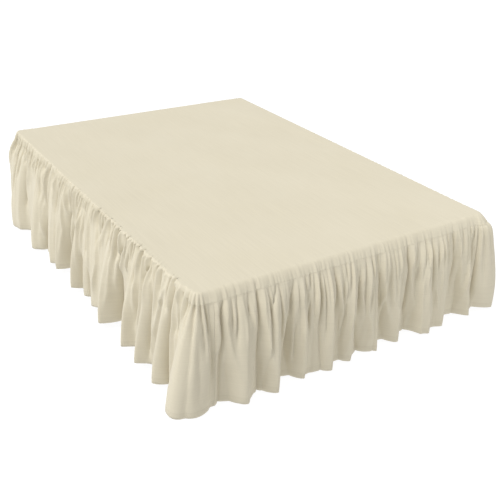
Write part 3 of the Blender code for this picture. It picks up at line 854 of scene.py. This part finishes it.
def deckSheet(material):
    # rings from the sewn edge up over the roll and in to a line along the middle
    rim = deckRim()
    fine, inner, spine = deckRings(rim)
    stride, lattice = deck["stride"], deck["lattice"]
    inner, spine = inner[::stride], spine[::stride]
    spine[:, 1] = np.round(spine[:, 1] / lattice) * lattice
    coarse = np.array([inner + (spine - inner) * t for t in deck["inner"]])
    fine += pucker(fine, rim["around"])
    points = np.concatenate([fine.reshape(-1, 3), coarse.reshape(-1, 3)])
    x, y = points[:, 0], points[:, 1]
    inward = np.minimum(bed["width"] / 2 - np.abs(x), bed["length"] / 2 - np.abs(y))
    height, across, startX, along, startY = deck["wave"]
    soft = height * np.sin(x * across + startX) * np.sin(y * along + startY)
    height, across, along = deck["slantWave"]
    soft += height * np.sin(x * across + y * along)
    points[:, 2] += soft * smooth((inward - deck["flatEdge"]) / deck["waveStart"])
    count, coarseCount = len(rim["x"]), len(inner)
    last, inside = (len(fine) - 1) * count, len(fine) * count
    faces = []
    for row in range(len(fine) - 1):
        faces += ringFaces(row * count, (row + 1) * count, count)
    for k in range(coarseCount):
        fan = [last + (k * stride + step) % count for step in range(stride + 1)]
        faces.append(tuple(fan + [inside + (k + 1) % coarseCount, inside + k]))
    for row in range(len(coarse) - 1):
        first = inside + row * coarseCount
        faces += ringFaces(first, first + coarseCount, coarseCount)
    mesh = makeMesh("deckSheet", points, faces, np.stack([y, x, x * 0], -1),
                    np.stack([x * 0 + 1, x, x * 0], -1))
    # the last ring closes on itself along the middle
    weld = bmesh.new()
    weld.from_mesh(mesh)
    weld.verts.ensure_lookup_table()
    bmesh.ops.remove_doubles(weld, verts=weld.verts[-coarseCount:], dist=deck["weld"])
    weld.to_mesh(mesh)
    weld.free()
    piece = addPiece(mesh, material)
    thicken(piece, ruffle["cloth"])
    return dress(piece, "deck_cloth")


deckPiece = deckSheet(ivoryCotton)
print("deck made")

# The box base

base = {
    "corner": 0.045, "leastRadius": 0.004, "cornerSteps": 14, "station": 0.012,
    "inset": 0.0035, "lift": 0.004, "sideSteps": 22, "topRound": 0.030, "roundSteps": 8,
    "topShares": (0.05, 0.2, 0.5, 0.8, 1.0), "spineHalf": 0.26,
    # the cover swells a little between its pipings
    "crown": 0.0022, "crownWaver": 0.35, "crownWaves": (3, 9),
    "piping": 0.0035, "pipingSides": 8, "lowerPiping": 0.006, "upperPiping": 0.034,
    "dustInset": 0.008, "dustLevel": 0.0035, "dustSag": 0.0010, "dustEase": 6,
    "dustWaves": (14, 12),
    "dustShares": (1.0, 0.8, 0.6, 0.45, 0.3, 0.2, 0.12, 0.06, 0.03, 0.0),
}


def ovalRing(low, high, inset):
    # a rectangle with rounded corners, as x, y and the way out
    radius = max(base["corner"] - inset, base["leastRadius"])
    lowX, lowY = low[0] + inset + radius, low[1] + inset + radius
    highX, highY = high[0] - inset - radius, high[1] - inset - radius
    rows = []
    for middleX, middleY, turn, endX, endY in (
            (highX, lowY, -pi / 2, highX, highY), (highX, highY, 0, lowX, highY),
            (lowX, highY, pi / 2, lowX, lowY), (lowX, lowY, pi, highX, lowY)):
        for step in range(base["cornerSteps"] + 1):
            angle = turn + pi / 2 * step / base["cornerSteps"]
            rows.append((middleX + radius * cos(angle), middleY + radius * sin(angle),
                         cos(angle), sin(angle)))
        reach = Vector((endX - middleX, endY - middleY)).length
        steps = ceil(reach / base["station"])
        fromX, fromY, outX, outY = rows[-1]
        wayX, wayY = (endX - middleX) / reach, (endY - middleY) / reach
        for step in range(1, steps):
            run = reach * step / steps
            rows.append((fromX + wayX * run, fromY + wayY * run, outX, outY))
    return np.array(rows)


def ringAt(ring, level, push=0):
    # a ring's points at a level, pushed out of the bed
    return np.stack([ring[:, 0] + ring[:, 2] * push, ring[:, 1] + ring[:, 3] * push,
                     ring[:, 0] * 0 + level], -1)


def ringLoft(name, rings, material):
    points = np.array(rings)
    around = np.linalg.norm(np.diff(points[0], axis=0), axis=1)
    around = np.concatenate([[0], np.cumsum(around)])
    downs = np.linalg.norm(np.diff(points[:, 0], axis=0), axis=1)
    downs = np.concatenate([[0], np.cumsum(downs)])
    threads = np.stack(np.broadcast_arrays(around[None, :], downs[:, None], 0.0), -1)
    return gridMesh(name, points, threads, threads * 0 + 1, material, closed=True)


def boxCover(low, high, material):
    # up the sides, over the rounded top edge and in to the middle
    rings = []
    side = high[2] - low[2] - base["lift"] - base["topRound"]
    ring = ovalRing(low, high, base["inset"])
    turned, across = base["crownWaves"]
    waver = 1 - base["crownWaver"] * np.abs(np.sin(ring[:, 2] * turned + ring[:, 0] * across))
    for step in range(base["sideSteps"] + 1):
        t = step / base["sideSteps"]
        crown = base["crown"] * sin(pi * t) * waver
        rings.append(ringAt(ring, low[2] + base["lift"] + side * t, crown))
    for step in range(1, base["roundSteps"] + 1):
        angle = pi / 2 * step / base["roundSteps"]
        inset = base["inset"] + (base["topRound"] - base["inset"]) * (1 - cos(angle))
        rings.append(ringAt(ovalRing(low, high, inset),
                            high[2] - base["topRound"] * (1 - sin(angle))))
    rim = rings[-1]
    spine = spineOf(rim, base["spineHalf"])
    rings += [rim + (spine - rim) * t for t in base["topShares"]]
    return ringLoft("baseCover", rings, material)


def pipingCord(name, low, high, level, material):
    ring = ovalRing(low, high, base["inset"])
    rings = []
    for step in range(base["pipingSides"] + 1):
        angle = 2 * pi * step / base["pipingSides"]
        rings.append(ringAt(ring, level + base["piping"] * sin(angle), base["piping"] * cos(angle)))
    return ringLoft(name, rings, material)


def closingCloth(low, high, material):
    # the thin cloth under the base, stapled just inside the edge
    outer = ringAt(ovalRing(low, high, base["dustInset"]), low[2] + base["dustLevel"])
    spine = spineOf(outer, base["spineHalf"])
    across, along = base["dustWaves"]
    rings = []
    for t in base["dustShares"]:
        ring = outer + (spine - outer) * t
        sag = np.sin(ring[:, 0] * across + 1) * np.sin(ring[:, 1] * along) + 1
        ring[:, 2] += base["dustSag"] * sag * min(1, t * base["dustEase"])
        rings.append(ring)
    return ringLoft("dustCloth", rings, material)


def boxBase(material, dust):
    low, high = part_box("bed_base")
    dress(boxCover(low, high, material), "bed_base")
    for name, level in (("lowerPiping", low[2] + base["lowerPiping"]),
                        ("upperPiping", high[2] - base["upperPiping"])):
        dress(pipingCord(name, low, high, level, material))
    dress(closingCloth(low, high, dust))


boxBase(baseCover(), dustCloth())

# The legs

leg = {
    "foot": 0.024, "taper": 0.92, "steps": 12, "axis": 0.0005,
    "sides": 56, "padSides": 40, "plateSides": 48,
    "shoulder": [(0.0040, 0.0030), (0.0015, 0.0045), (0.0, 0.0090)],  # in, down from the top
    "heel": [(0.0, 0.008), (0.0012, 0.0045), (0.0040, 0.003)],  # in, up from the floor
    "pad": [(0.006, 0.0), (0.005, 0.0006), (0.005, 0.003)],  # in, up from the floor
    "plate": [(0.004, 0.003), (0.005, 0.0022), (0.005, 0.0004)],  # out, down from the top
}


def lathe(name, profile, middle, material, sides):
    # turns a profile of (radius, level) about an upright line
    angles = np.arange(sides) * 2 * pi / sides
    rings = [np.stack([middle[0] + radius * np.cos(angles), middle[1] + radius * np.sin(angles),
                       angles * 0 + level], -1) for radius, level in profile]
    return ringLoft(name, rings, material)


def turnedLeg(node, wood, felt, metal):
    # a tapered leg between a plate under the base and a felt pad on the floor
    low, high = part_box(node)
    bottom, top = low[2], high[2]
    middle = ((low[0] + high[0]) / 2, (low[1] + high[1]) / 2)
    wide, foot, axis = (high[0] - low[0]) / 2, leg["foot"], leg["axis"]
    shoulder, heel = leg["shoulder"], leg["heel"]
    taper = (top - bottom) - (shoulder[-1][1] + heel[0][1])
    profile = [(axis, top - shoulder[0][1])]
    profile += [(wide - inset, top - down) for inset, down in shoulder]
    for step in range(1, leg["steps"]):
        t = step / leg["steps"]
        radius = wide + (foot - wide) * t ** leg["taper"]
        profile.append((radius, top - shoulder[-1][1] - taper * t))
    profile += [(foot - inset, bottom + up) for inset, up in heel]
    profile.append((axis, bottom + heel[-1][1]))
    pad = [(axis, 0.0)] + [(foot - inset, up) for inset, up in leg["pad"]]
    pad.append((axis, leg["pad"][-1][1]))
    plate = [(axis, top - leg["plate"][0][1])]
    plate += [(wide + out, top - down) for out, down in leg["plate"]]
    plate.append((axis, top))
    where = node.replace("leg_", "").replace("_", " ").title().replace(" ", "")
    turned = lathe("turnedLeg" + where, profile[::-1], middle, wood, leg["sides"])
    dress(turned, node)
    dress(lathe("feltPad" + where, pad, middle, felt, leg["padSides"]))
    dress(lathe("legPlate" + where, plate, middle, metal, leg["plateSides"]))


wood = turnedWood()
felt = plainFinish("greyFelt", srgb(92, 88, 84), 0.95, 900.0)
metal = plainFinish("plateMetal", srgb(150, 150, 152), 0.38, 400.0, Metallic=1.0)
for node in [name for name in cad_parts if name.startswith("leg_")]:
    turnedLeg(node, wood, felt, metal)
print("base and legs made")

# Floor and light

studio = {
    "floor": (0.12, 0.12, 0.12, 1), "floorGlow": 0.955, "floorSize": 60, "floorLevel": -0.0005,
    "world": 0.335,
    "sunStrength": 3.14, "sunAngle": 22, "sunFrom": (-0.45, 0.02, 0.89),
    # a weak soft box low at the right of the foot
    "fill": (1.7, -2.7, 0.7), "fillAim": (0.66, -0.95, 0.25), "fillSize": 1.4, "fillPower": 9.0,
}


def addLight(name, kind, energy, place, toward):
    light = bpy.data.lights.new(name, kind)
    light.energy = energy
    lamp = addObject(name, light)
    lamp.location = place
    lamp.rotation_euler = toward.to_track_quat("-Z", "Y").to_euler()
    return light


def makeStudio():
    bpy.ops.mesh.primitive_plane_add(size=studio["floorSize"],
                                     location=(0, 0, studio["floorLevel"]))
    floor = bpy.context.object
    floor.name = "studioFloor"
    finish = Finish("paleFloor", 0.95, Base_Color=studio["floor"], Specular_IOR_Level=0.1,
                    Emission_Color=(1, 1, 1, 1), Emission_Strength=studio["floorGlow"])
    floor.data.materials.append(finish.material)
    world = bpy.data.worlds.new("softRoom")
    bpy.context.scene.world = world
    world.use_nodes = True
    background = world.node_tree.nodes["Background"].inputs
    background["Color"].default_value = (1.0, 1.0, 1.0, 1)
    background["Strength"].default_value = studio["world"]
    sun = addLight("softSun", "SUN", studio["sunStrength"], (0, 0, 0), -Vector(studio["sunFrom"]))
    sun.angle = radians(studio["sunAngle"])
    box = addLight("softBox", "AREA", studio["fillPower"], studio["fill"],
                   Vector(studio["fillAim"]) - Vector(studio["fill"]))
    box.size = studio["fillSize"]
    bpy.context.scene.view_settings.view_transform = "Standard"


makeStudio()
print("studio set")
